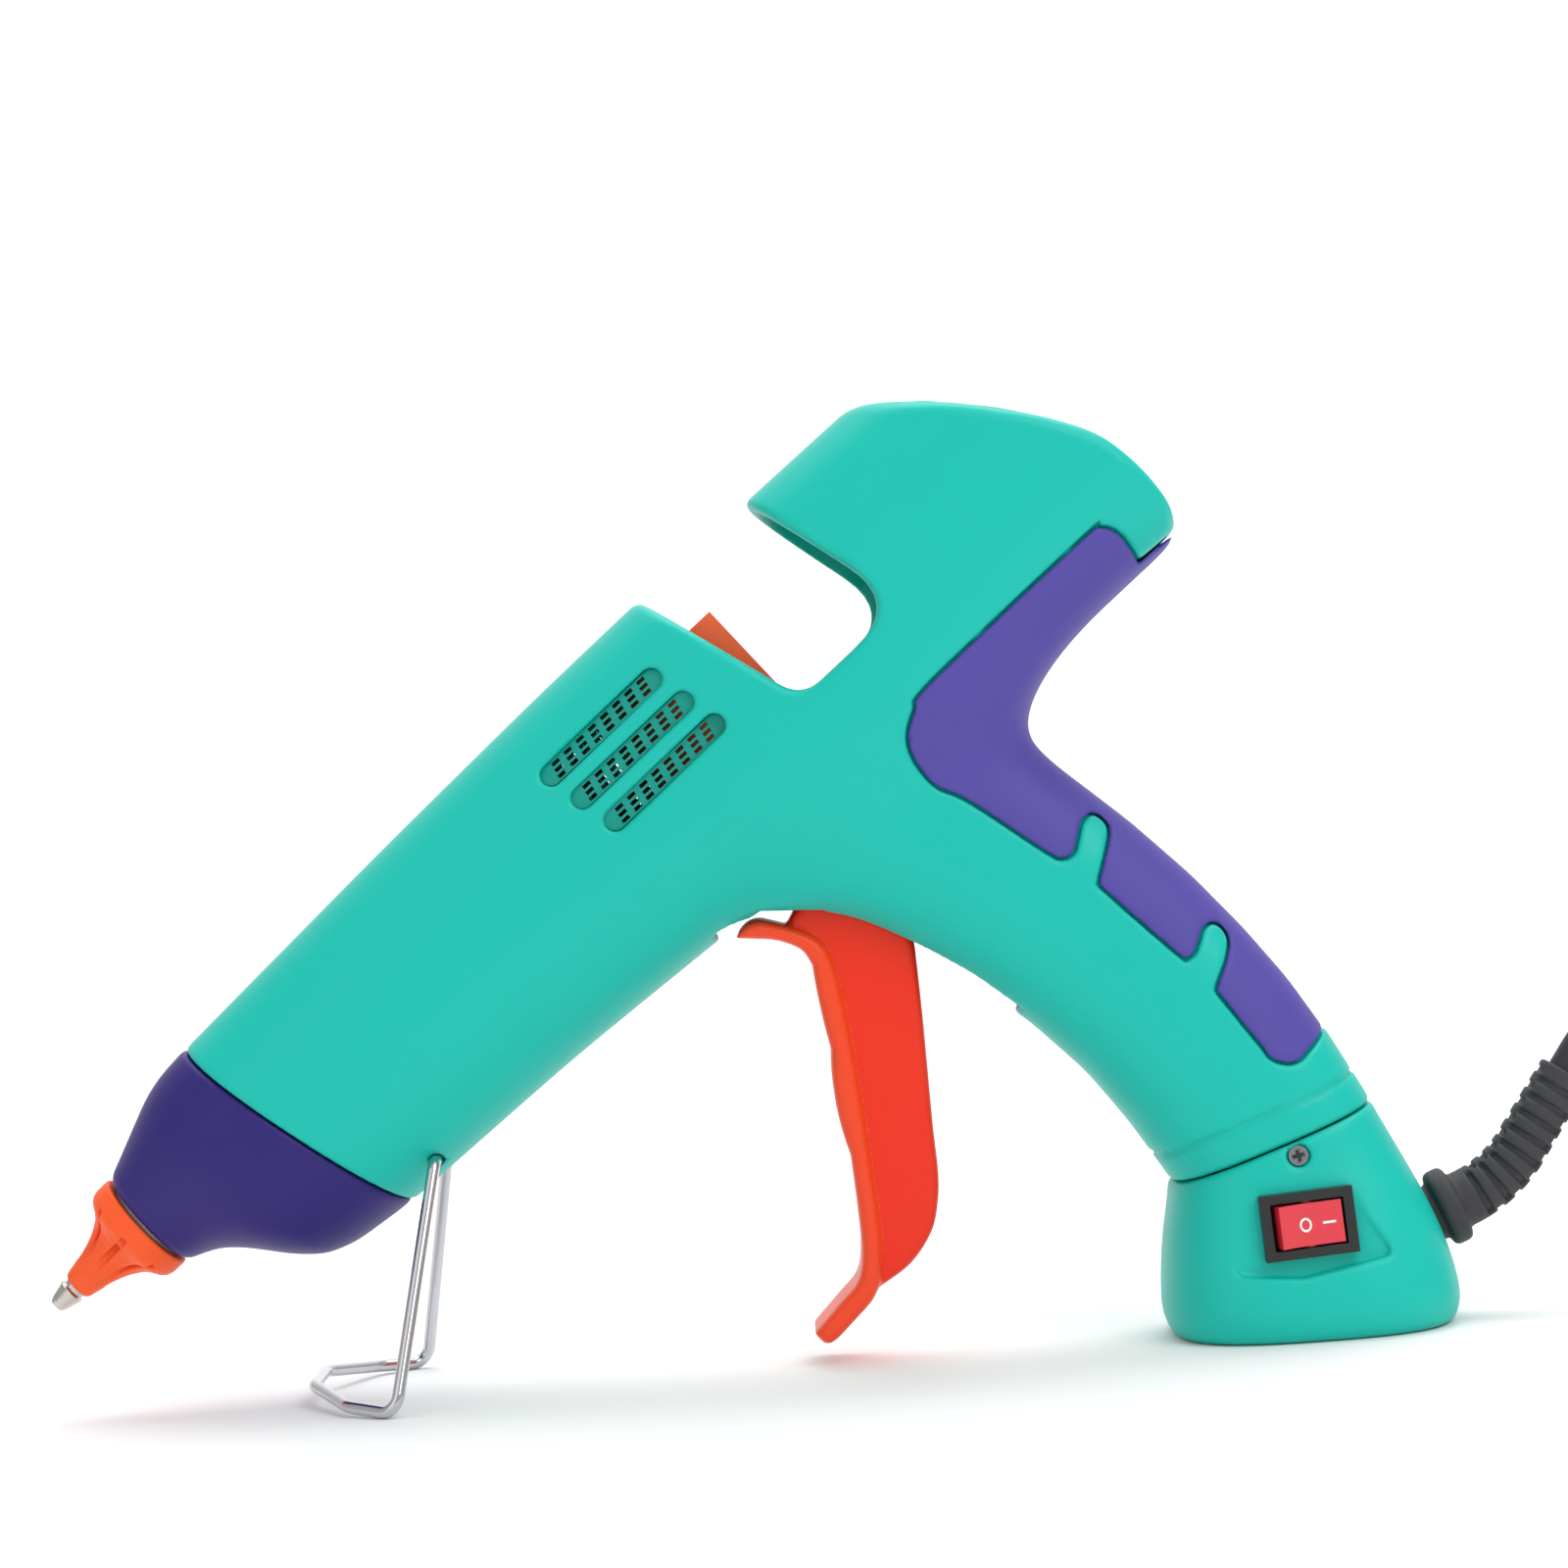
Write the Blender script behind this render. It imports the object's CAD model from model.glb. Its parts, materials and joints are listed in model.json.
import bpy, json, math
import numpy as np
from mathutils import Vector, Matrix


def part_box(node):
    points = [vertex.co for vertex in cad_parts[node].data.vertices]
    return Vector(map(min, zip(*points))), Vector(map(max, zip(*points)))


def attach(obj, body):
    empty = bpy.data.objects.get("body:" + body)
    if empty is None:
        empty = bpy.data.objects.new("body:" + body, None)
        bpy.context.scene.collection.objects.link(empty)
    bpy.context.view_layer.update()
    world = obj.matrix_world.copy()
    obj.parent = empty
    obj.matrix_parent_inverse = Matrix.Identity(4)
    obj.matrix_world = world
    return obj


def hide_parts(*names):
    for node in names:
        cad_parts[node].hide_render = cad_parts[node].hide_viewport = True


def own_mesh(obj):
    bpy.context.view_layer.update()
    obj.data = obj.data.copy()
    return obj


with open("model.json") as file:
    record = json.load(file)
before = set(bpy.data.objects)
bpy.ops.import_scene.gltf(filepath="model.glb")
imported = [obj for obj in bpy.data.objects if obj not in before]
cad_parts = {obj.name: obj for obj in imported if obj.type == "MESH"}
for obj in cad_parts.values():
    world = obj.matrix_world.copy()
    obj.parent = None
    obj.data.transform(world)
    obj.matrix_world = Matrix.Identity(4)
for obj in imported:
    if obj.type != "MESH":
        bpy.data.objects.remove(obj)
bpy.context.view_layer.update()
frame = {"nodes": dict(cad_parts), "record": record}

N = frame["nodes"]
scene = bpy.context.scene

# ------------------------------------------------------------------ shared frame
AX = math.radians(38.95)
CA, SA = math.cos(AX), math.sin(AX)
TX, TZ = -114.5, 18.9
DX = 0.0


# ------------------------------------------------------------------ camera
cam_data = bpy.data.cameras.new("cam")
cam = bpy.data.objects.new("cam", cam_data)
scene.collection.objects.link(cam)
cam_data.lens = 90.0
cam_data.sensor_width = 36.0
cam_data.clip_start, cam_data.clip_end = 0.05, 10
CAM = Vector((0.0109, -0.645, 0.0952))
ROLL = math.radians(-4.3)
cam.matrix_world = Matrix.Translation(CAM) @ Matrix.Rotation(math.radians(90), 4, 'X') @ Matrix.Rotation(ROLL, 4, 'Z')
scene.camera = cam


# ------------------------------------------------------------------ materials
def new_mat(name):
    m = bpy.data.materials.new(name)
    m.use_nodes = True
    nt = m.node_tree
    return m, nt, nt.nodes["Principled BSDF"]


def lin(c):
    c = c / 255
    return c / 12.92 if c <= 0.04045 else ((c + 0.055) / 1.055) ** 2.4


def rgb(r, g, b):
    return (lin(r), lin(g), lin(b), 1.0)


def link(nt, a, b):
    nt.links.new(a, b)


def node(nt, kind, **kw):
    n = nt.nodes.new(kind)
    for k, v in kw.items():
        setattr(n, k, v)
    return n


def ramp(nt, lo, hi, src):
    n = node(nt, "ShaderNodeMapRange")
    n.inputs["To Min"].default_value = lo
    n.inputs["To Max"].default_value = hi
    link(nt, src, n.inputs["Value"])
    return n.outputs["Result"]


def surface(name, col, rough=0.4, metal=0.0, grain=900.0, grain_h=0.02, wave=0.05, edge=0.0, spec=0.5, sss=0.0, sss_col=None,
            tint=0.04, smear=18.0, aniso=0.0, coat=0.0, scratches=0.0):
    m, nt, b = new_mat(name)
    b.inputs["Base Color"].default_value = col
    b.inputs["Metallic"].default_value = metal
    b.inputs["Specular IOR Level"].default_value = spec
    b.inputs["Anisotropic"].default_value = aniso
    b.inputs["Coat Weight"].default_value = coat
    b.inputs["Coat Roughness"].default_value = 0.15
    if sss:
        b.inputs["Subsurface Weight"].default_value = sss
        b.inputs["Subsurface Radius"].default_value = (0.004, 0.003, 0.002)
        b.inputs["Subsurface Scale"].default_value = 0.5
    tc = node(nt, "ShaderNodeTexCoord")
    fine = node(nt, "ShaderNodeTexNoise")
    fine.inputs["Scale"].default_value = grain
    fine.inputs["Detail"].default_value = 3.0
    big = node(nt, "ShaderNodeTexNoise")
    big.inputs["Scale"].default_value = smear
    big.inputs["Detail"].default_value = 4.0
    link(nt, tc.outputs["Object"], fine.inputs["Vector"])
    link(nt, tc.outputs["Object"], big.inputs["Vector"])
    # roughness: fingers leave soft smears, the grain breaks it up
    link(nt, ramp(nt, max(0.02, rough - wave), min(1.0, rough + wave), big.outputs["Fac"]), b.inputs["Roughness"])
    if tint:
        hsv = node(nt, "ShaderNodeHueSaturation")
        hsv.inputs["Color"].default_value = col
        link(nt, ramp(nt, 1.0 - tint, 1.0 + tint, big.outputs["Fac"]), hsv.inputs["Value"])
        link(nt, hsv.outputs["Color"], b.inputs["Base Color"])
    bump = node(nt, "ShaderNodeBump")
    bump.inputs["Strength"].default_value = 0.35
    bump.inputs["Distance"].default_value = grain_h / 1000
    link(nt, fine.outputs["Fac"], bump.inputs["Height"])
    if edge:
        bev = node(nt, "ShaderNodeBevel", samples=6)
        bev.inputs["Radius"].default_value = edge / 1000
        link(nt, bev.outputs["Normal"], bump.inputs["Normal"])
    last = bump
    if scratches:
        sc = node(nt, "ShaderNodeTexNoise")
        sc.inputs["Scale"].default_value = 60.0
        sc.inputs["Detail"].default_value = 8.0
        mp = node(nt, "ShaderNodeMapping")
        mp.inputs["Scale"].default_value = (1.0, 14.0, 14.0)
        link(nt, tc.outputs["Object"], mp.inputs["Vector"])
        link(nt, mp.outputs["Vector"], sc.inputs["Vector"])
        b2 = node(nt, "ShaderNodeBump")
        b2.inputs["Strength"].default_value = scratches
        b2.inputs["Distance"].default_value = 0.00002
        link(nt, sc.outputs["Fac"], b2.inputs["Height"])
        link(nt, bump.outputs["Normal"], b2.inputs["Normal"])
        last = b2
    link(nt, last.outputs["Normal"], b.inputs["Normal"])
    return m


TEAL = rgb(8, 188, 173)
M = {
    "teal_shell": surface("teal_shell", TEAL, rough=0.42, grain=1400, grain_h=0.04, wave=0.06, edge=0.7, tint=0.03, spec=0.3),
    "teal_screen": surface("teal_screen", rgb(6, 150, 136), spec=0.3, rough=0.45, grain=1400, grain_h=0.02, edge=0.15),
    "violet_shroud": surface("violet_shroud", rgb(42, 27, 111), spec=0.3, rough=0.45, grain=1500, grain_h=0.05, wave=0.06, edge=0.7),
    "violet_grip": surface("violet_grip", rgb(80, 69, 158), rough=0.55, grain=1700, grain_h=0.09, wave=0.06, edge=0.5, spec=0.35),
    "orange_trigger": surface("orange_trigger", rgb(238, 44, 10), spec=0.35, rough=0.36, grain=1300, grain_h=0.02, edge=0.8),
    "orange_silicone": surface("orange_silicone", rgb(248, 90, 34), spec=0.3, rough=0.5, grain=1500, grain_h=0.05, edge=0.4, sss=0.15),
    "orange_plate": surface("orange_plate", rgb(243, 70, 28), spec=0.35, rough=0.38, grain=1300, grain_h=0.02, edge=0.0),
    "red_rocker": surface("red_rocker", rgb(222, 42, 58), rough=0.22, grain=900, grain_h=0.01, edge=0.3, coat=0.3),
    "black_plastic": surface("black_plastic", rgb(24, 24, 26), rough=0.3, grain=1100, grain_h=0.02, edge=0.3),
    "grey_rubber": surface("grey_rubber", rgb(58, 58, 61), rough=0.6, grain=1600, grain_h=0.06, edge=0.35, spec=0.35),
    "cord_black": surface("cord_black", rgb(46, 46, 49), rough=0.5, grain=1200, grain_h=0.04, spec=0.4),
    "steel": surface("steel", rgb(176, 177, 180), rough=0.28, metal=1.0, grain=700, grain_h=0.01, edge=0.12, scratches=0.2),
    "bright_nozzle": surface("bright_nozzle", rgb(196, 192, 186), rough=0.22, metal=1.0, grain=700, grain_h=0.008, edge=0.12, scratches=0.25),
    "stand_wire": surface("stand_wire", rgb(200, 200, 204), rough=0.16, metal=1.0, grain=600, grain_h=0.006, scratches=0.2),
    "brass": surface("brass", rgb(196, 162, 92), rough=0.3, metal=1.0, grain=700, grain_h=0.01),
    "cast_aluminium": surface("cast_aluminium", rgb(178, 179, 182), rough=0.5, metal=1.0, grain=420, grain_h=0.12, edge=0.3),
    "insulating_board": surface("insulating_board", rgb(205, 196, 170), rough=0.85, grain=500, grain_h=0.1),
    "insulating_film": surface("insulating_film", rgb(214, 150, 40), rough=0.25, grain=400, grain_h=0.02),
    "heater_ceramic": surface("heater_ceramic", rgb(120, 110, 100), rough=0.7, grain=800, grain_h=0.05),
    "inlet_silicone": surface("inlet_silicone", rgb(226, 222, 214), rough=0.55, grain=900, grain_h=0.04, sss=0.1),
    "lead_sleeving": surface("lead_sleeving", rgb(226, 226, 220), rough=0.7, grain=2200, grain_h=0.06),
}
carriage_plate = surface("carriage_plate", rgb(250, 108, 62), spec=0.3, rough=0.5, grain=1300, grain_h=0.03, edge=0.3)
zinc_head = surface("zinc_head", rgb(128, 132, 134), rough=0.34, metal=1.0, grain=700, grain_h=0.02, scratches=0.3)
recess_dark = surface("recess_dark", rgb(28, 29, 31), rough=0.5, grain=900, grain_h=0.02)
white_mark = surface("white_mark", rgb(240, 240, 240), rough=0.5, grain=900, grain_h=0.01)

SLOT = {s["node"]: s["material_slot"] for s in frame["record"]["subparts"]}
for n, o in N.items():
    o.data.materials.clear()
    o.data.materials.append(M[SLOT[n]])
for n, m in (("feed_carriage", carriage_plate), ("foot_screws", zinc_head), ("housing_screws", zinc_head)):
    N[n].data.materials[0] = m




# ------------------------------------------------------------------ rounded shells, grown from distance fields in the gun's own axes
import openvdb as vdb

H = 0.5


def axis(a, b):
    return np.arange(a, b + H, H, dtype=np.float32)


def profile(xs, rows, col, soft=2.5):
    """A smooth curve through one column of a section table."""
    r = np.array(rows, float)
    r = r[np.argsort(r[:, 0])]
    pad = 12.0
    fx = np.arange(xs[0] - pad, xs[-1] + pad, 0.25)
    fy = np.interp(fx, r[:, 0], r[:, col])
    s = soft / 0.25
    kx = np.arange(-int(3 * s), int(3 * s) + 1)
    kern = np.exp(-0.5 * (kx / s) ** 2)
    fy = np.convolve(np.pad(fy, len(kx) // 2, mode="edge"), kern / kern.sum(), mode="valid")
    return np.interp(xs, fx, fy).astype(np.float32)


def unit(f):
    """Rescales a field to true distance near its zero surface."""
    g = np.gradient(f, H)
    m = np.sqrt(g[0] ** 2 + g[1] ** 2 + g[2] ** 2)
    return f / np.maximum(m, 0.2 * float(m.max()) if False else 1e-3)


def smin(a, b, k):
    h = np.maximum(k - np.abs(a - b), 0) / k
    return np.minimum(a, b) - h * h * k * 0.25


def smax(a, b, k):
    return -smin(-a, -b, k)


def catmull(pts, n=6, closed=False):
    p = np.array(pts, float)
    out = []
    m = len(p)
    for i in range(m if closed else m - 1):
        if closed:
            p0, p1, p2, p3 = p[i - 1], p[i], p[(i + 1) % m], p[(i + 2) % m]
        else:
            p0, p1, p2, p3 = p[max(i - 1, 0)], p[i], p[i + 1], p[min(i + 2, m - 1)]
        for j in range(n):
            t = j / n
            out.append(0.5 * (2 * p1 + (p2 - p0) * t + (2 * p0 - 5 * p1 + 4 * p2 - p3) * t * t + (3 * p1 - p0 - 3 * p2 + p3) * t ** 3))
    if not closed:
        out.append(p[-1])
    return np.array(out)


def poly2d(A, B, poly):
    """Signed distance (inside negative) of a closed outline over the grid A x B."""
    x, y = np.meshgrid(A, B, indexing="ij")
    d = np.full(x.shape, 1e9, np.float32)
    inside = np.zeros(x.shape, bool)
    q = np.array(poly, float)
    for (x0, y0), (x1, y1) in zip(q, np.roll(q, -1, axis=0)):
        ex, ey = x1 - x0, y1 - y0
        l2 = ex * ex + ey * ey
        if l2 < 1e-9:
            continue
        t = np.clip(((x - x0) * ex + (y - y0) * ey) / l2, 0, 1)
        d = np.minimum(d, (x - x0 - t * ex) ** 2 + (y - y0 - t * ey) ** 2)
        c = ((y0 <= y) & (y1 > y)) | ((y1 <= y) & (y0 > y))
        if abs(ey) > 1e-9:
            inside ^= c & (x < x0 + (y - y0) / ey * ex)
    d = np.sqrt(d)
    return np.where(inside, -d, d).astype(np.float32)


def piece(name, field, A, B, C, to_world, mat, body, nodes, adapt=0.0):
    """Meshes field over A x B x C; to_world turns grid points into the row frame, in mm."""
    g = vdb.FloatGrid(3.0 * H)
    g.copyFromArray(np.ascontiguousarray(np.clip(field, -3 * H, 3 * H).astype(np.float32)))
    g.transform = vdb.createLinearTransform(voxelSize=H)
    pts, quads = g.convertToQuads(isovalue=0.0)
    pts = np.asarray(pts, float)
    a, b, c = pts[:, 0] + A[0], pts[:, 1] + B[0], pts[:, 2] + C[0]
    w = np.stack(to_world(a, b, c), axis=1) / 1000.0
    me = bpy.data.meshes.new(name)
    f = np.asarray(quads)[:, ::-1]
    me.from_pydata(w.tolist(), [], f.tolist())
    me.validate()
    ob = bpy.data.objects.new(name, me)
    scene.collection.objects.link(ob)
    me.materials.append(mat)
    me.shade_smooth()
    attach(ob, body)
    if nodes:
        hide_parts(*nodes)
    return ob


def gun_axes(a, b, c):
    return TX + a * CA - b * SA, c, TZ + a * SA + b * CA


# ------------------------------------------------------------------ slotted strain relief
H_SHELL = H
H = 0.28
A, B, C = axis(103, 143), axis(5, 46), axis(-7.5, 7.5)
X3, Z3, Y3 = A[:, None, None], B[None, :, None], C[None, None, :]
BOOT_A, BOOT_B, BOOT_C = np.array((106.45, 14.58)), np.array((123.5, 21.3)), np.array((135.7, 38.7))
d0, d1 = (BOOT_A - BOOT_B) / np.linalg.norm(BOOT_A - BOOT_B), (BOOT_C - BOOT_B) / np.linalg.norm(BOOT_C - BOOT_B)
half = math.acos(float(d0 @ d1)) / 2
cut = 22.0 / math.tan(half)
ctr = BOOT_B + (d0 + d1) / np.linalg.norm(d0 + d1) * (22.0 / math.sin(half))
t0, t1 = BOOT_B + d0 * cut - ctr, BOOT_B + d1 * cut - ctr
path = [BOOT_A, BOOT_A * 0.5 + (BOOT_B + d0 * cut) * 0.5]
for i in range(25):
    f = i / 24
    q = t0 * (1 - f) + t1 * f
    path.append(ctr + q / np.linalg.norm(q) * 22.0)
path += [path[-1] * 0.5 + BOOT_C * 0.5, BOOT_C]
best, along, rise = np.full((len(A), len(B)), 1e9, np.float32), np.zeros((len(A), len(B)), np.float32), np.zeros((len(A), len(B)), np.float32)
gx, gz = np.meshgrid(A, B, indexing="ij")
run = 0.0
for p, q in zip(path[:-1], path[1:]):
    e = q - p
    n = float(np.linalg.norm(e))
    e = e / n
    t = np.clip((gx - p[0]) * e[0] + (gz - p[1]) * e[1], 0, n)
    dx, dz = gx - p[0] - t * e[0], gz - p[1] - t * e[1]
    dd = dx * dx + dz * dz
    m = dd < best
    best = np.where(m, dd, best)
    along = np.where(m, run + t, along)
    rise = np.where(m, -dx * e[1] + dz * e[0], rise)
    run += n
S3, R3 = along[:, :, None], np.sqrt(best)[:, :, None]
rad = np.sqrt(R3 ** 2 + Y3 ** 2)
ang = np.degrees(np.arctan2(rise[:, :, None] + 0 * Y3, -np.abs(Y3) + 0 * R3))          # 180 at the two sides, 90 above, -90 below
side = 180 - np.abs(ang)                                                              # 0 at the sides, 90 above and below
body = rad - (4.78 - 0.012 * S3)
collar = smax(rad - 6.45, np.abs(S3 - 8.75) - 1.75, 1.3)
f = smin(body, collar, 0.8)
for i in range(8):
    s = 14.2 + 3.05 * i
    if s > run - 2.2:
        break
    f = smax(f, -np.maximum(np.maximum(np.abs(S3 - s) - 0.5, 3.75 - rad), (side - 62) * 0.08), 0.35)
    f = smax(f, -np.maximum(np.maximum(np.abs(S3 - s - 1.52) - 0.5, 3.75 - rad), (58 - side) * 0.08), 0.35)
f = smax(f, S3 - run + 0.35 + 0 * Y3, 0.5)
f = np.maximum(f, 3.05 - rad)
relief = piece("relief_boot", f, A, B, C, lambda a, b, c: (a, c, b), M["grey_rubber"], "gun", ["strain_relief"])
H = H_SHELL

# ------------------------------------------------------------------ mains lead
def fillet_route(pts, fr=0.45, step=5.0):
    pts = [Vector(p) for p in pts]
    out = [pts[0]]
    for i in range(1, len(pts) - 1):
        a, b, c = pts[i - 1], pts[i], pts[i + 1]
        d1, d2 = (a - b).normalized(), (c - b).normalized()
        t = fr * min((a - b).length, (c - b).length)
        s, e = b + d1 * t, b + d2 * t
        k = max(1, int((s - out[-1]).length / step))
        out += [out[-1].lerp(s, j / k) for j in range(1, k + 1)]
        ang = d1.angle(d2)
        r = t * math.tan(ang / 2)
        ctr = b + (d1 + d2).normalized() * (r / math.sin(ang / 2))
        v0, v1 = s - ctr, e - ctr
        sweep = v0.angle(v1)
        k = max(2, int(r * sweep / step))
        for j in range(1, k + 1):
            f = j / k
            w = (math.sin((1 - f) * sweep) * v0 + math.sin(f * sweep) * v1) / math.sin(sweep)
            out.append(ctr + w)
    k = max(1, int((pts[-1] - out[-1]).length / step))
    base = out[-1]
    out += [base.lerp(pts[-1], j / k) for j in range(1, k + 1)]
    return out


COIL = Vector((256.0, 9.8, 0.0))
ROUTE = fillet_route([(100.4, 0, 12.2), (123.5, 0, 21.3), (151, 0, 60.6), (200, -10, 50), (228, -24.9, 3.2), (266, -24.9, 3.2)])
ROUTE = [p for p in ROUTE if p.x < 251.5]
turns = []
T_END = 4.5 + 25 / 360
k = 24
tt = 0.0
while tt <= T_END + 1e-6:
    if tt <= 2.0:
        r, z = 34.7 - 6.05 * tt, 3.2
    elif tt <= 2.5:
        f = (tt - 2.0) / 0.5
        r, z = 22.6 - 1.6 * math.sin(math.pi * f), 3.2 + 6.1 * f
    else:
        r, z = 22.6 + 6.05 * (tt - 2.5), 9.3
    a = math.radians(-90) + 2 * math.pi * tt
    turns.append(COIL + Vector((r * math.cos(a), r * math.sin(a), z)))
    tt += 1.0 / k
r, a = 22.6 + 6.05 * (T_END - 2.5), math.radians(-90) + 2 * math.pi * T_END
turns.append(COIL + Vector((r * math.cos(a), r * math.sin(a), 9.3)))
end = turns[-1]
ah = math.radians(25)
head = Vector((-math.cos(ah), -math.sin(ah), 0))
tail = [end + head * 8 + Vector((0, 0, 0.0)), end + head * 15 + Vector((0, 0, -0.2)), end + head * 22 + Vector((0, 0, -1.4)), end + head * 29 + Vector((0, 0, -2.5)), end + head * 36 + Vector((0, 0, -2.7))]
pts = [p / 1000 for p in ROUTE + turns + tail]
cu = bpy.data.curves.new("mains_lead", "CURVE")
cu.dimensions = "3D"
sp = cu.splines.new("NURBS")
sp.points.add(len(pts) - 1)
for p, q in zip(sp.points, pts):
    p.co = (*q, 1.0)
sp.order_u = 3
sp.use_endpoint_u = True
sp.resolution_u = 6
cu.bevel_depth = 0.003
cu.bevel_resolution = 6
cu.use_fill_caps = True
lead = bpy.data.objects.new("mains_lead", cu)
scene.collection.objects.link(lead)
cu.materials.append(M["cord_black"])
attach(lead, "gun")
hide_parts("power_cord", "cord_coil", "cord_tail")

# ------------------------------------------------------------------ housing and grips
BAR = [(4, 14.4, -26.6, 17.4, 2.15), (50, 16.4, -27.4, 18.2, 2.2), (90, 17.9, -28.7, 18.9, 2.3), (125, 18.7, -31.2, 19.5, 2.45), (150, 18.8, -33.2, 19.7, 2.6),
       (185, 18.3, -34.5, 19.7, 2.8), (250, 16.9, -34.7, 19.3, 2.8)]
HANDLE = [(-8, 130.0, 190.0, 17.7), (-18, 128.0, 191.0, 17.7), (-27, 127.5, 191.0, 17.3), (-32, 128.6, 189.6, 17.05), (-36, 131.8, 184.2, 16.85), (-39.5, 135.2, 180.9, 16.7),
          (-43, 137.8, 179.9, 16.55), (-48, 140.2, 180.3, 16.4), (-55, 143.0, 181.5, 16.2), (-63, 145.6, 182.8, 16.05), (-76, 148.2, 184.1, 15.9), (-88, 149.3, 184.4, 15.85),
          (-99, 148.8, 184.0, 15.85), (-110, 147.4, 182.6, 15.9), (-122, 145.3, 180.3, 16.0), (-138, 141.8, 176.2, 16.1)]


def bar_field(A, B, C):
    top, bot, w, n = (profile(A, BAR, i, 6.0)[:, None, None] for i in (1, 2, 3, 4))
    v, y = B[None, :, None], C[None, None, :]
    c, h = (top + bot) / 2, (top - bot) / 2
    f = ((np.abs(y) / w) ** n + (np.abs(v - c) / h) ** n) ** (1 / n) - 1
    return unit(f.astype(np.float32))


def hand_field(A, B, C):
    u0, u1, w = (profile(B, HANDLE, i, 1.6)[None, :, None] for i in (1, 2, 3))
    u, y = A[:, None, None], C[None, None, :]
    c, h = (u0 + u1) / 2, (u1 - u0) / 2
    f = ((np.abs(u - c) / h) ** 2.7 + (np.abs(y) / w) ** 2.7) ** (1 / 2.7) - 1
    f = unit(f.astype(np.float32))
    return np.maximum(f, (B[None, :, None] + 6.0))


A, B, C = axis(34, 227), axis(-134, 24), axis(-22, 22)
U3, V3, Y3 = A[:, None, None], B[None, :, None], C[None, None, :]
bar = bar_field(A, B, C)
hand = hand_field(A, B, C)
form = smin(bar, hand, 9.0)

REAR = [(188.3, 26.2), (196.6, 17.6), (206.0, 7.9), (211.3, 1.4), (216.2, -5.3), (220.2, -12.5), (221.7, -19.0), (222.0, -25.5), (221.5, -30.0), (219.8, -33.2), (216.0, -35.0), (209.0, -36.4)]
rear2 = poly2d(A, B, list(catmull(REAR)) + [(209, -60), (290, -60), (290, 40), (175, 40)])[:, :, None]


def fillet_poly(pts, radii, n=8):
    out = []
    m = len(pts)
    for i in range(m):
        p0, p1, p2 = (np.array(pts[j % m], float) for j in (i - 1, i, i + 1))
        d0, d1 = (p0 - p1) / np.linalg.norm(p0 - p1), (p2 - p1) / np.linalg.norm(p2 - p1)
        ang = math.acos(float(np.clip(d0 @ d1, -1, 1)))
        t = radii[i] / math.tan(ang / 2)
        s, e = p1 + d0 * t, p1 + d1 * t
        for j in range(n + 1):
            f = j / n
            out.append((1 - f) ** 2 * s + 2 * f * (1 - f) * p1 + f * f * e)
    return out


notch2 = poly2d(A, B, fillet_poly([(145.3, 30), (157.0, -11.4), (179.2, -11.4), (169.1, 30)], [0.4, 5.6, 8.4, 0.4]))[:, :, None]
seam_front = ((44.1 + 0.2386 * (16.3 - V3)) - U3) / math.hypot(1, 0.2386)          # positive in front of the shroud seam
NB = (-0.344, -0.939)
seam_foot = (U3 - 147.4) * NB[0] + (V3 + 110.6) * NB[1]                             # positive below the foot seam
GRIP = [(212.3, -32.4), (212.5, -29.4), (212.3, -26.2), (210.6, -23.9), (207.9, -23.3), (173.5, -23.4), (168.6, -24.9), (164.8, -27.3), (162.9, -31.2), (162.7, -36.6), (164.9, -41.9),
        (168.4, -56.3), (169.6, -59.1), (171.8, -59.8), (174.2, -58.4), (176.5, -57.1), (178.4, -57.4), (178.9, -59.6), (177.9, -61.1), (174.1, -63.6), (171.4, -65.4), (171.0, -67.3),
        (172.6, -83.1), (173.3, -84.6), (174.8, -84.9), (176.5, -84.2), (178.8, -83.1), (180.5, -83.6), (180.9, -85.3), (180.2, -87.0), (177.7, -88.7), (173.7, -90.6), (173.0, -91.6),
        (172.2, -102.4), (172.0, -105.3), (173.2, -107.7), (175.1, -109.0), (177.7, -109.1), (181.0, -109.1)]
grip2 = poly2d(A, B, list(catmull(GRIP)) + [(200, -109.1), (200, -60), (240, -45), (240, -34)])[:, :, None]
VENTS = [((119.3, 7.1), (141.4, 7.3)), ((120.5, 1.0), (142.6, 1.1)), ((121.9, -5.2), (143.8, -5.0))]


def slot2(a, b, r):
    x, y = np.meshgrid(A, B, indexing="ij")
    ex, ey = b[0] - a[0], b[1] - a[1]
    t = np.clip(((x - a[0]) * ex + (y - a[1]) * ey) / (ex * ex + ey * ey), 0, 1)
    return (np.sqrt((x - a[0] - t * ex) ** 2 + (y - a[1] - t * ey) ** 2) - r).astype(np.float32)


vents2 = np.minimum.reduce([slot2(a, b, 1.85) for a, b in VENTS])[:, :, None]
inner = np.maximum(form + 2.8, 2.7 - rear2)

shell = smax(form, -rear2, 2.4)
shell = smax(shell, -notch2, 1.6)
shell = smax(shell, seam_front, 0.9)
shell = smax(shell, seam_foot, 0.9)
shell = np.maximum(shell, -inner)
# shallow line above the foot seam
shell = smax(shell, -np.maximum(np.abs(seam_foot + 5.4) - 0.42, -(form + 0.55)), 0.3)
# grip recess with its soft lip
shell = smax(shell, -np.maximum(grip2, -(form + 1.5)), 0.5)
# vents
shell = smax(shell, -np.maximum(vents2, 9.0 - np.abs(Y3)), 0.7)
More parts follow.
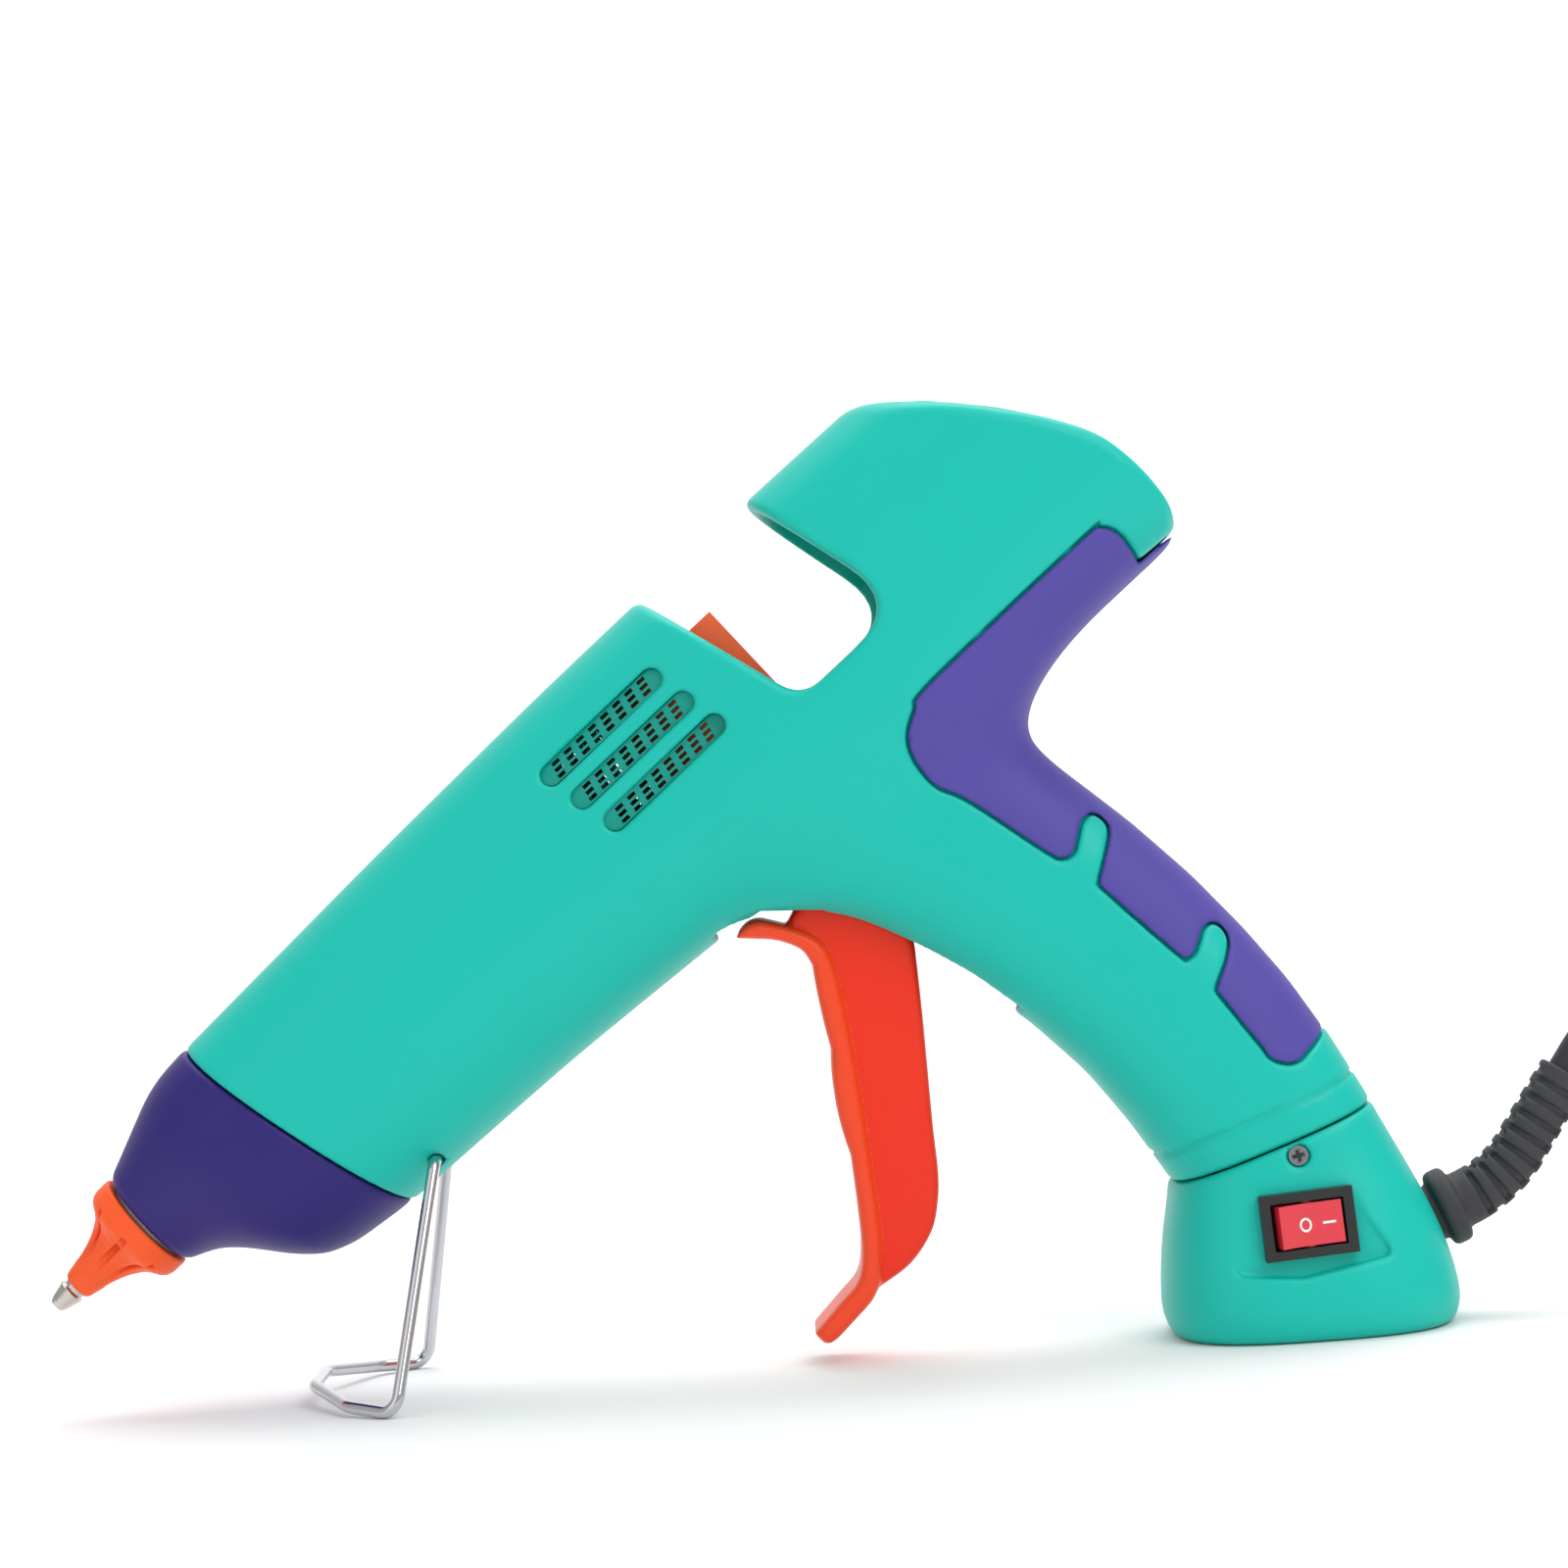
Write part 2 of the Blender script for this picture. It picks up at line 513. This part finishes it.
# trigger mouth
mouth = poly2d(A, B, [(120.5, -29.5), (140, -29.5), (156, -40), (156, -60), (150, -72.5), (140, -72.5), (120, -42)])[:, :, None]
shell = smax(shell, -np.maximum(mouth, np.abs(Y3) - 7.4), 0.8)
mouth2 = poly2d(A, B, [(120.2, -31.9), (128.5, -31.9), (136, -39), (136, -46), (120.2, -46)])[:, :, None]
shell = smax(shell, -np.maximum(mouth2, np.abs(Y3) - 9.5), 0.8)
# stand hole, screw wells on the far side
shell = np.maximum(shell, -(np.sqrt((U3 - 62.6) ** 2 + (V3 + 25.3) ** 2) - 1.15))
for su, sv in ((105.5, -17.6), (166.5, -22.5), (199.0, -21.0), (166.5, -62.0), (166.0, -97.0)):
    shell = smax(shell, -np.maximum(np.sqrt((U3 - su) ** 2 + (V3 - sv) ** 2) - 3.0, 11.0 - Y3), 0.5)
# notch floor and stick guide wall
floor_plate = np.maximum(np.maximum(np.maximum(-11.4 - 2.6 - V3, V3 + 11.4), np.maximum(157.5 - U3, U3 - 186)), form + 1.0)
shell = np.minimum(shell, floor_plate)
wall_e = np.maximum(np.maximum(np.abs(U3 - 204) - 1.0, form + 1.0), 8.3 - np.sqrt(V3 ** 2 + Y3 ** 2))
wall_d = np.maximum(np.maximum(np.abs(U3 - 184.5) - 1.0, form + 1.0), 8.3 - np.sqrt(V3 ** 2 + Y3 ** 2))
shell = np.minimum(shell, np.maximum(np.minimum(wall_e, wall_d), -rear2))
shell = np.maximum(shell, 8.25 - np.sqrt(V3 ** 2 + Y3 ** 2) - 1e3 * (U3 < 180))
left = piece("left_shell", np.maximum(shell, Y3 + 0.04), A, B, C, gun_axes, M["teal_shell"], "gun", ["left_housing"])
right = piece("right_shell", np.maximum(shell, 0.04 - Y3), A, B, C, gun_axes, M["teal_shell"], "gun", ["right_housing"])
grip = smax(np.maximum(form, -(form + 1.5)), grip2 + 0.38, 0.7)
grip = smax(grip, -rear2, 1.0)
grip = smax(grip, form, 0.6)
piece("left_grip", np.maximum(grip, Y3 + 0.04), A, B, C, gun_axes, M["violet_grip"], "gun", ["left_grip_insert"])
piece("right_grip", np.maximum(grip, 0.04 - Y3), A, B, C, gun_axes, M["violet_grip"], "gun", ["right_grip_insert"])
del shell, bar, hand, form, inner, grip

# ------------------------------------------------------------------ finned nozzle sleeve
H_SHELL = H
H = 0.22
A, B, C = axis(2.5, 21), axis(-10.2, 10.2), axis(-10.2, 10.2)
U3, V3, Y3 = A[:, None, None], B[None, :, None], C[None, None, :]
rad = np.sqrt(V3 ** 2 + Y3 ** 2)
OUT = [(3.9, 2.5), (6.0, 2.95), (8.5, 3.5), (10.2, 4.0), (11.7, 4.6), (13.0, 5.3), (14.1, 6.05), (15.0, 7.1), (15.8, 8.4), (16.6, 9.0), (17.4, 9.18), (20.0, 9.2)]
ru = np.interp(A, [p[0] for p in OUT], [p[1] for p in OUT]).astype(np.float32)[:, None, None]
slope = np.gradient(ru[:, 0, 0], H)[:, None, None]
f = (rad - ru) / np.sqrt(1 + np.minimum(slope, 1.6) ** 2)
f = smax(f, 3.95 - U3, 0.9)
f = smax(f, U3 - 19.95, 0.4)
low = np.maximum(3.3 + 0.16 * (A - 8.0), np.where(A > 15.2, 7.75, 0))[:, None, None]
for i in range(8):
    a = math.radians(45 * i)
    off = np.abs(-math.sin(a) * V3 + math.cos(a) * Y3)
    fwd = math.cos(a) * V3 + math.sin(a) * Y3
    slot = np.maximum(np.maximum(off - 0.52, low - rad), np.maximum(-fwd, np.maximum(7.6 - U3, U3 - 16.9)))
    f = smax(f, -slot, 0.35)
bore = np.where(U3 < 15.6, 3.08, np.where(U3 < 19.2, 7.06, 7.36)) + 0 * rad
bore = np.where(U3 < 11.0, np.interp(A, [3.9, 11.0], [2.02, 2.98])[:, None, None], bore)
f = np.maximum(f, bore - rad)
piece("sleeve_skin", f, A, B, C, gun_axes, M["orange_silicone"], "gun", ["nozzle_sleeve"])
H = H_SHELL


# ------------------------------------------------------------------ front shroud
SHROUD = [(18, 8.2, -8.4, 8.2), (20.3, 9.0, -9.2, 9.0), (23, 10.1, -10.2, 10.1), (26.5, 11.6, -11.9, 11.8), (30, 13.1, -15.4, 13.6), (34, 14.8, -20.6, 15.6), (38, 15.8, -24.4, 16.8),
          (43, 16.2, -26.2, 17.5), (52, 16.5, -27.3, 18.1), (64, 16.9, -27.7, 18.5)]
A, B, C = axis(17, 60), axis(-31, 20), axis(-21, 21)
U3, V3, Y3 = A[:, None, None], B[None, :, None], C[None, None, :]
top, bot, w = (profile(A, SHROUD, i, 1.3)[:, None, None] for i in (1, 2, 3))
nose = unit((((np.abs(Y3) / w) ** 2.15 + (np.abs(V3 - (top + bot) / 2) / ((top - bot) / 2)) ** 2.15) ** (1 / 2.15) - 1).astype(np.float32))
seam_front = ((44.1 + 0.2386 * (16.3 - V3)) - U3) / math.hypot(1, 0.2386)
f = smax(nose, 20.4 - U3, 1.6)
f = smax(f, 0.22 - seam_front, 0.9)
f = np.maximum(f, -np.maximum(nose + 2.2, 23.0 - U3))
f = smax(f, 7.7 - np.sqrt(V3 ** 2 + Y3 ** 2), 0.8)
tabs = np.maximum(np.maximum(np.abs(np.abs(Y3) - 14.0) - 1.1, np.abs(V3 + 3) - 3), np.maximum(40 - U3, U3 - 54.6))
f = np.minimum(f, tabs)
piece("shroud_skin", f, A, B, C, gun_axes, M["violet_shroud"], "gun", ["front_shroud"])

# ------------------------------------------------------------------ base foot
FOOT = [(-6, 69.0, 112.6, 19.4), (0.0, 68.4, 113.2, 20.0), (1.2, 67.4, 114.3, 21.2), (4.0, 66.6, 115.1, 22.0), (10.0, 66.9, 114.2, 21.3), (16.0, 67.6, 112.3, 20.2), (22.0, 68.8, 109.8, 18.8),
        (28.0, 69.7, 106.9, 17.2), (34.0, 71.2, 103.9, 16.3), (46.0, 73.8, 98.2, 15.9)]
A, B, C = axis(64, 118), axis(-2, 40), axis(-24, 24)
X3, Z3, Y3 = A[:, None, None], B[None, :, None], C[None, None, :]
x0, x1, w = (profile(B, FOOT, i, 1.6)[None, :, None] for i in (1, 2, 3))
ft = unit((((np.abs(X3 - (x0 + x1) / 2) / ((x1 - x0) / 2)) ** 2.7 + (np.abs(Y3) / w) ** 2.7) ** (1 / 2.7) - 1).astype(np.float32))
fu = (X3 - TX) * CA + (Z3 - TZ) * SA
fv = -(X3 - TX) * SA + (Z3 - TZ) * CA
below = (fu - 147.4) * NB[0] + (fv + 110.6) * NB[1]
f = smax(ft, 0.03 - Z3, 1.6)
f = smax(f, 0.25 - below, 0.9)
pocket = poly2d(A, B, fillet_poly([(77, 60), (77, 11.2), (87.7, 10.4), (102.5, 13.0), (97.9, 20.6), (97, 60)], [0.4, 2.0, 2.0, 1.2, 2.0, 0.4]))[:, :, None]
cav = np.maximum(np.maximum(ft + 2.6, 2.6 - Z3), -np.maximum(pocket - 2.0, Y3 + 16.2))
f = np.maximum(f, -cav)
f = smax(f, -np.maximum(pocket, Y3 + 18.2), 0.6)
tl = math.radians(3.2)
sx = (X3 - 89.2) * math.cos(tl) + (Z3 - 18.9) * math.sin(tl)
sz = -(X3 - 89.2) * math.sin(tl) + (Z3 - 18.9) * math.cos(tl)
f = np.maximum(f, -np.maximum(np.maximum(np.abs(sx) - 6.5, np.abs(sz) - 4.5), Y3 + 10))
rs = np.sqrt((X3 - 88.7) ** 2 + (Z3 - 29.6) ** 2)
f = smax(f, -np.maximum(rs - 1.9, 15.6 - np.abs(Y3)), 0.4)
f = np.maximum(f, 1.1 - rs)
cs = (X3 - 100.4) * 0.9305 + (Z3 - 12.2) * 0.3663
ch = -(X3 - 100.4) * 0.3663 + (Z3 - 12.2) * 0.9305
f = smax(f, -np.maximum(np.sqrt(ch ** 2 + Y3 ** 2) - 4.75, 5.0 - cs), 0.4)
bosses = np.maximum(np.sqrt((cs - 4.0) ** 2 + (np.abs(Y3) - 6.2) ** 2) - 2.9, ch - 3.0)
bosses = np.maximum(np.maximum(bosses, 1.3 - np.sqrt((cs - 4.0) ** 2 + (np.abs(Y3) - 6.2) ** 2)), 1.0 - Z3)
f = np.minimum(f, np.maximum(bosses, ft + 1.0))


def floor_axes(a, b, c):
    return a, c, b


piece("foot_skin", f, A, B, C, floor_axes, M["teal_shell"], "gun", ["base_foot"])

# ------------------------------------------------------------------ trigger
H_KEEP = H
H = min(H, 0.45)
A, B, C = axis(84, 158), axis(-95, -6), axis(-13.5, 13.5)
U3, V3, Y3 = A[:, None, None], B[None, :, None], C[None, None, :]


def arc3(a, m, b, n=10):
    """Points on the circle through a, m and b."""
    (ax, ay), (bx, by), (cx, cy) = a, m, b
    d = 2 * (ax * (by - cy) + bx * (cy - ay) + cx * (ay - by))
    ux = ((ax * ax + ay * ay) * (by - cy) + (bx * bx + by * by) * (cy - ay) + (cx * cx + cy * cy) * (ay - by)) / d
    uy = ((ax * ax + ay * ay) * (cx - bx) + (bx * bx + by * by) * (ax - cx) + (cx * cx + cy * cy) * (bx - ax)) / d
    r = math.hypot(ax - ux, ay - uy)
    t0, t1, t2 = (math.atan2(y - uy, x - ux) for x, y in (a, m, b))
    while t1 - t0 > math.pi: t1 -= 2 * math.pi
    while t1 - t0 < -math.pi: t1 += 2 * math.pi
    while t2 - t1 > math.pi: t2 -= 2 * math.pi
    while t2 - t1 < -math.pi: t2 += 2 * math.pi
    return [(ux + r * math.cos(t0 + (t2 - t0) * i / n), uy + r * math.sin(t0 + (t2 - t0) * i / n)) for i in range(n)]


PLATE = list(catmull([(122.6, -32.5), (124.7, -34.6), (127.2, -37.3), (129.0, -41.0), (128.6, -44.1)]))[:-1]
PLATE += arc3((128.6, -44.1), (125.2, -49.4), (121.4, -56.3)) + arc3((121.4, -56.3), (116.2, -62.8), (112.0, -70.9))
PLATE += list(catmull([(112.0, -70.9), (109.6, -74.3), (106.3, -78.9), (102.8, -83.4), (99.0, -86.6), (94.2, -87.3), (87.9, -88.0)]))[:-1]
PLATE += list(catmull([(87.9, -88.0), (88.0, -90.3), (89.6, -91.2), (94.0, -91.0), (98.4, -90.6), (101.4, -89.4)]))[:-1]
PLATE += list(catmull([(101.4, -89.4), (104.8, -85.9), (107.4, -82.9), (113.5, -74.2), (118.0, -67.7), (123.4, -59.6), (128.0, -52.4), (131.4, -46.2), (132.3, -42.2), (130.9, -38.2), (127.7, -33.2)]))[:-1]
PLATE += arc3((127.7, -33.2), (125.4, -31.9), (122.6, -32.5))
WEB = list(catmull([(142.7, -53.7), (135.9, -62.8), (125.4, -76.3), (120.3, -83.1), (116.5, -86.9), (112.6, -89.4), (106.8, -90.7), (100.6, -90.0)]))
WEB += [(104.0, -85.5), (113.0, -73.5), (122.6, -59.5), (130.0, -47.0), (131.5, -42.2), (129.6, -36.6), (145.0, -31.5), (152.0, -31.0), (154.0, -36.5)]
plate2 = poly2d(A, B, PLATE)[:, :, None]
web2 = poly2d(A, B, WEB)[:, :, None]
plate = smax(plate2, np.abs(Y3) - 9.0, 2.4)
web = smax(web2, np.abs(Y3) - 6.8, 2.0)
f = smin(plate, web, 0.5)
hub = smax(np.sqrt((U3 - 149.5) ** 2 + (V3 + 34.5) ** 2) - 5.0, np.abs(Y3) - 12.1, 0.5)
arms = np.maximum(np.maximum(np.abs(U3 - 149.3) - 3.9, np.maximum(-36 - V3, V3 + 9.2)), np.abs(np.abs(Y3) - 10.9) - 1.2)
arms = np.maximum(arms, -np.maximum(np.abs(U3 - 149.3) - 2.3, -15.0 - V3))
f = np.minimum(np.minimum(f, hub), arms)
f = np.maximum(f, 2.06 - np.sqrt((U3 - 149.5) ** 2 + (V3 + 34.5) ** 2))
trig = piece("trigger_skin", f, A, B, C, gun_axes, M["orange_trigger"], "trigger", ["trigger"])
trig.data.materials.append(M["orange_plate"])
inplate = (plate[:, :, :] < 0.25) & (plate2 < 0.3)
for pl in trig.data.polygons:
    x, y, z = (q * 1000 for q in pl.center)
    gu, gv = (x - TX) * CA + (z - TZ) * SA, -(x - TX) * SA + (z - TZ) * CA
    i, j, k = int(round((gu - A[0]) / H)), int(round((gv - B[0]) / H)), int(round((y - C[0]) / H))
    if 0 <= i < len(A) and 0 <= j < len(B) and 0 <= k < len(C) and inplate[i, j, k]:
        pl.material_index = 1
H = H_KEEP

# ------------------------------------------------------------------ springs that shorten
def spring_copy(name, src):
    me = N[src].data.copy()
    ob = bpy.data.objects.new(name, me)
    scene.collection.objects.link(ob)
    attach(ob, "gun")
    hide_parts(src)
    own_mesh(ob)
    return ob


spring_copy("feed_spring", "return_spring")
spring_copy("ball_spring", "valve_spring")

# ------------------------------------------------------------------ switch marks, laid on the rocker's curved face
TL = math.radians(3.2)
ROCK = [(-4.75, 3.1), (-3.6, 2.52), (-2.4, 2.1), (-1.1, 1.86), (0.2, 1.75), (1.5, 1.66), (2.8, 1.6), (5.45, 1.55)]


def rock_point(x, z, lift=0.04):
    h = float(np.interp(x, [p[0] for p in ROCK], [p[1] for p in ROCK])) + lift
    return ((89.2 + DX + x * math.cos(TL) - z * math.sin(TL)) / 1000, (-18.4 - h) / 1000, (18.9 + x * math.sin(TL) + z * math.cos(TL)) / 1000)


def mark(name, verts, faces):
    me = bpy.data.meshes.new(name)
    me.from_pydata(verts, [], faces)
    ob = bpy.data.objects.new(name, me)
    scene.collection.objects.link(ob)
    me.materials.append(white_mark)
    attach(ob, "rocker")
    return ob


vs, fs = [], []
for i in range(40):
    a = 2 * math.pi * i / 40
    for r in (0.66, 0.98):
        vs.append(rock_point(-0.62 + r * math.cos(a), 1.18 * r * math.sin(a)))
for i in range(40):
    j = (i + 1) % 40
    fs.append((2 * i, 2 * j, 2 * j + 1, 2 * i + 1))
mark("mark_off", vs, fs)
vs, fs = [], []
for i in range(5):
    for z in (-0.2, 0.2):
        vs.append(rock_point(2.15 + 2.1 * i / 4, z))
for i in range(4):
    fs.append((2 * i, 2 * i + 2, 2 * i + 3, 2 * i + 1))
mark("mark_on", vs, fs)

# ------------------------------------------------------------------ cross recess of the near foot screw
lo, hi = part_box("foot_screws")
cx, cz, yy, rr = 0.0887, 0.0296, float(lo[1]) - 0.00002, 0.0
vs, fs = [], []
for turn in (20, 110):
    ca, sa = math.cos(math.radians(turn)), math.sin(math.radians(turn))
    k = len(vs)
    for p, q in ((-0.95, -0.24), (0.95, -0.24), (0.95, 0.24), (-0.95, 0.24)):
        vs.append((cx + DX / 1000 + (p * ca - q * sa) / 1000, yy - 0.00001 * (turn > 90), cz + (p * sa + q * ca) / 1000))
    fs.append((k, k + 1, k + 2, k + 3))
me = bpy.data.meshes.new("screw_recess")
me.from_pydata(vs, [], fs)
me.materials.append(recess_dark)
ob = bpy.data.objects.new("screw_recess", me)
scene.collection.objects.link(ob)
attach(ob, "gun")


# ------------------------------------------------------------------ room
prof = [(-2.0, 0.0), (0.9, 0.0)] + [(0.9 + 0.5 * math.sin(math.radians(d)), 0.5 - 0.5 * math.cos(math.radians(d))) for d in range(6, 91, 6)] + [(1.4, 2.6)]
vs = [(x, y, z) for y, z in prof for x in (-3.0, 3.0)]
fl = bpy.data.meshes.new("floor")
fl.from_pydata(vs, [], [(2 * i, 2 * i + 1, 2 * i + 3, 2 * i + 2) for i in range(len(prof) - 1)])
fl.shade_smooth()
floor = bpy.data.objects.new("floor", fl)
scene.collection.objects.link(floor)
floor.data.materials.append(surface("floor_paint", rgb(244, 244, 244), rough=0.75, grain=300, grain_h=0.02, tint=0.01))
w = bpy.data.worlds.new("w")
scene.world = w
w.use_nodes = True
w.node_tree.nodes["Background"].inputs["Color"].default_value = (1, 1, 1, 1)
w.node_tree.nodes["Background"].inputs["Strength"].default_value = 0.55


def area(name, loc, target, size, power):
    l = bpy.data.lights.new(name, "AREA")
    l.size = size
    l.energy = power
    o = bpy.data.objects.new(name, l)
    scene.collection.objects.link(o)
    o.location = loc
    d = Vector(target) - Vector(loc)
    o.rotation_euler = d.to_track_quat("-Z", "Y").to_euler()
    return o


area("key", (0.6, -0.75, 0.9), (0.02, 0, 0.08), 0.8, 6.6)
area("fill", (-0.8, -0.9, 0.5), (0, 0, 0.08), 0.9, 1.7)
area("top", (0.15, 0.25, 1.1), (0, 0, 0.08), 0.8, 4.5)
area("backdrop", (0.0, 0.55, 1.2), (0.0, 1.4, 0.25), 1.2, 9)
scene.view_settings.view_transform = "Standard"
